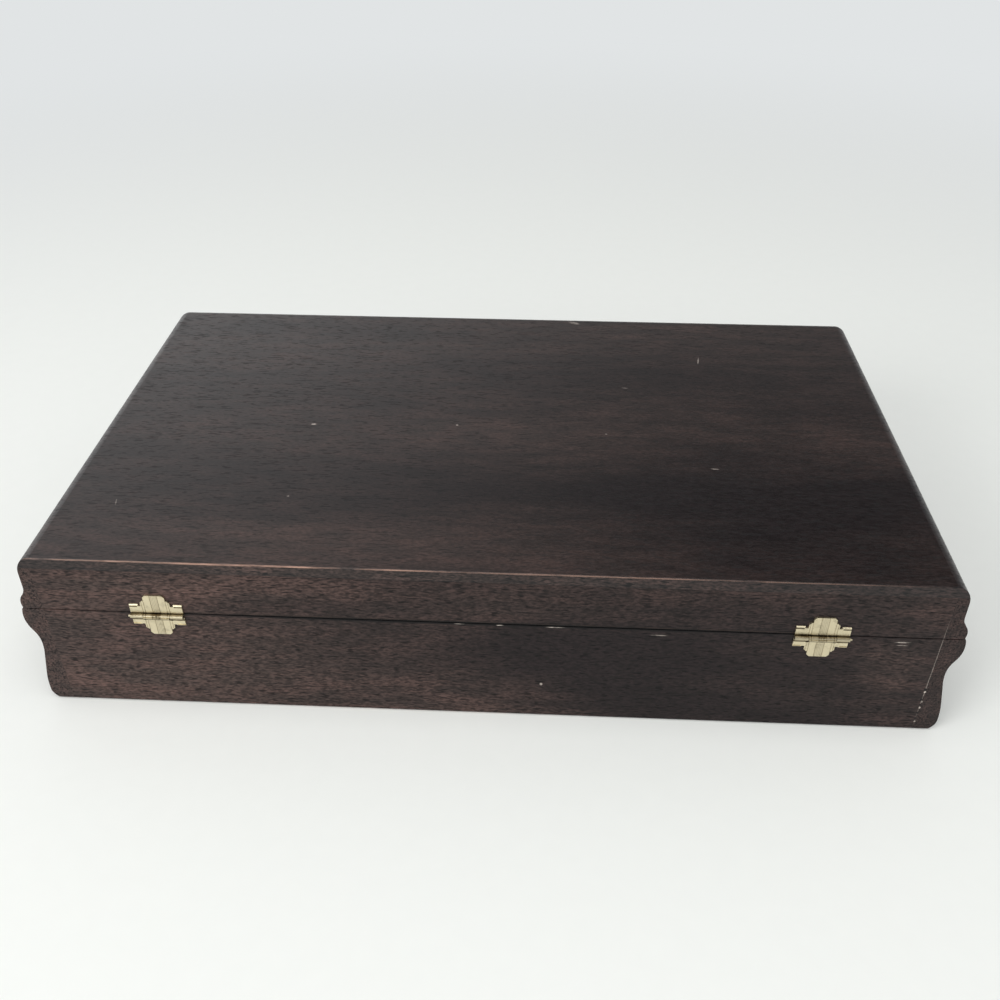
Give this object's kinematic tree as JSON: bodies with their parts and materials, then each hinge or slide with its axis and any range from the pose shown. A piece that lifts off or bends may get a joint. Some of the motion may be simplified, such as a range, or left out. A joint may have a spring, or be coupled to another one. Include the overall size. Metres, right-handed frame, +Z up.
{
  "type": "silverware chest",
  "caption": "Shallow wooden silverware chest with moulded ends and front, a hinged lid with knife racks, cloth linings and slotted flatware racks.",
  "frame": {"origin": "middle of the flat underside that the chest rests on", "axes": "+Z up, +X to the right as seen from the front, the front faces -Y and the hinges are at +Y"},
  "size_m": [0.432, 0.2591, 0.0904],
  "materials": {
    "mahogany": "dark stained, satin lacquer",
    "bottom_board": "stained plywood",
    "lining_cloth": "brushed flannel over card",
    "rack_cloth": "brushed flannel over wood",
    "hinge_brass": "pale plated, satin"
  },
  "bodies": {
    "base": {"base_front_board": "mahogany", "base_back_board": "mahogany", "base_left_board": "mahogany", "base_right_board": "mahogany", "base_bottom_panel": "bottom_board", "base_front_lining": "lining_cloth", "base_back_lining": "lining_cloth", "base_left_lining": "lining_cloth", "base_right_lining": "lining_cloth", "base_floor_lining": "lining_cloth", "left_divider": "rack_cloth", "right_divider": "rack_cloth", "dinner_fork_front_rack": "rack_cloth", "dinner_fork_rear_rack": "rack_cloth", "salad_fork_front_rack": "rack_cloth", "salad_fork_rear_rack": "rack_cloth", "teaspoon_front_rack": "rack_cloth", "teaspoon_rear_rack": "rack_cloth", "tablespoon_front_rack": "rack_cloth", "tablespoon_rear_rack": "rack_cloth", "left_hinge_lower_leaf": "hinge_brass", "right_hinge_lower_leaf": "hinge_brass", "left_hinge_pin": "hinge_brass", "right_hinge_pin": "hinge_brass"},
    "lid": {"lid_top_panel": "mahogany", "lid_front_rail": "mahogany", "lid_back_rail": "mahogany", "lid_left_rail": "mahogany", "lid_right_rail": "mahogany", "lid_top_lining": "lining_cloth", "lid_front_lining": "lining_cloth", "lid_back_lining": "lining_cloth", "lid_left_lining": "lining_cloth", "lid_right_lining": "lining_cloth", "knife_handle_rack": "rack_cloth", "knife_blade_rack": "rack_cloth", "left_hinge_upper_leaf": "hinge_brass", "right_hinge_upper_leaf": "hinge_brass"}
  },
  "joints": [
    {"name": "lid_hinge", "type": "hinge", "parent": "base", "child": "lid", "pos_m": [0, 0.1295, 0.059], "axis": [-1, 0, 0], "range_deg": [0, 105]}
  ]
}
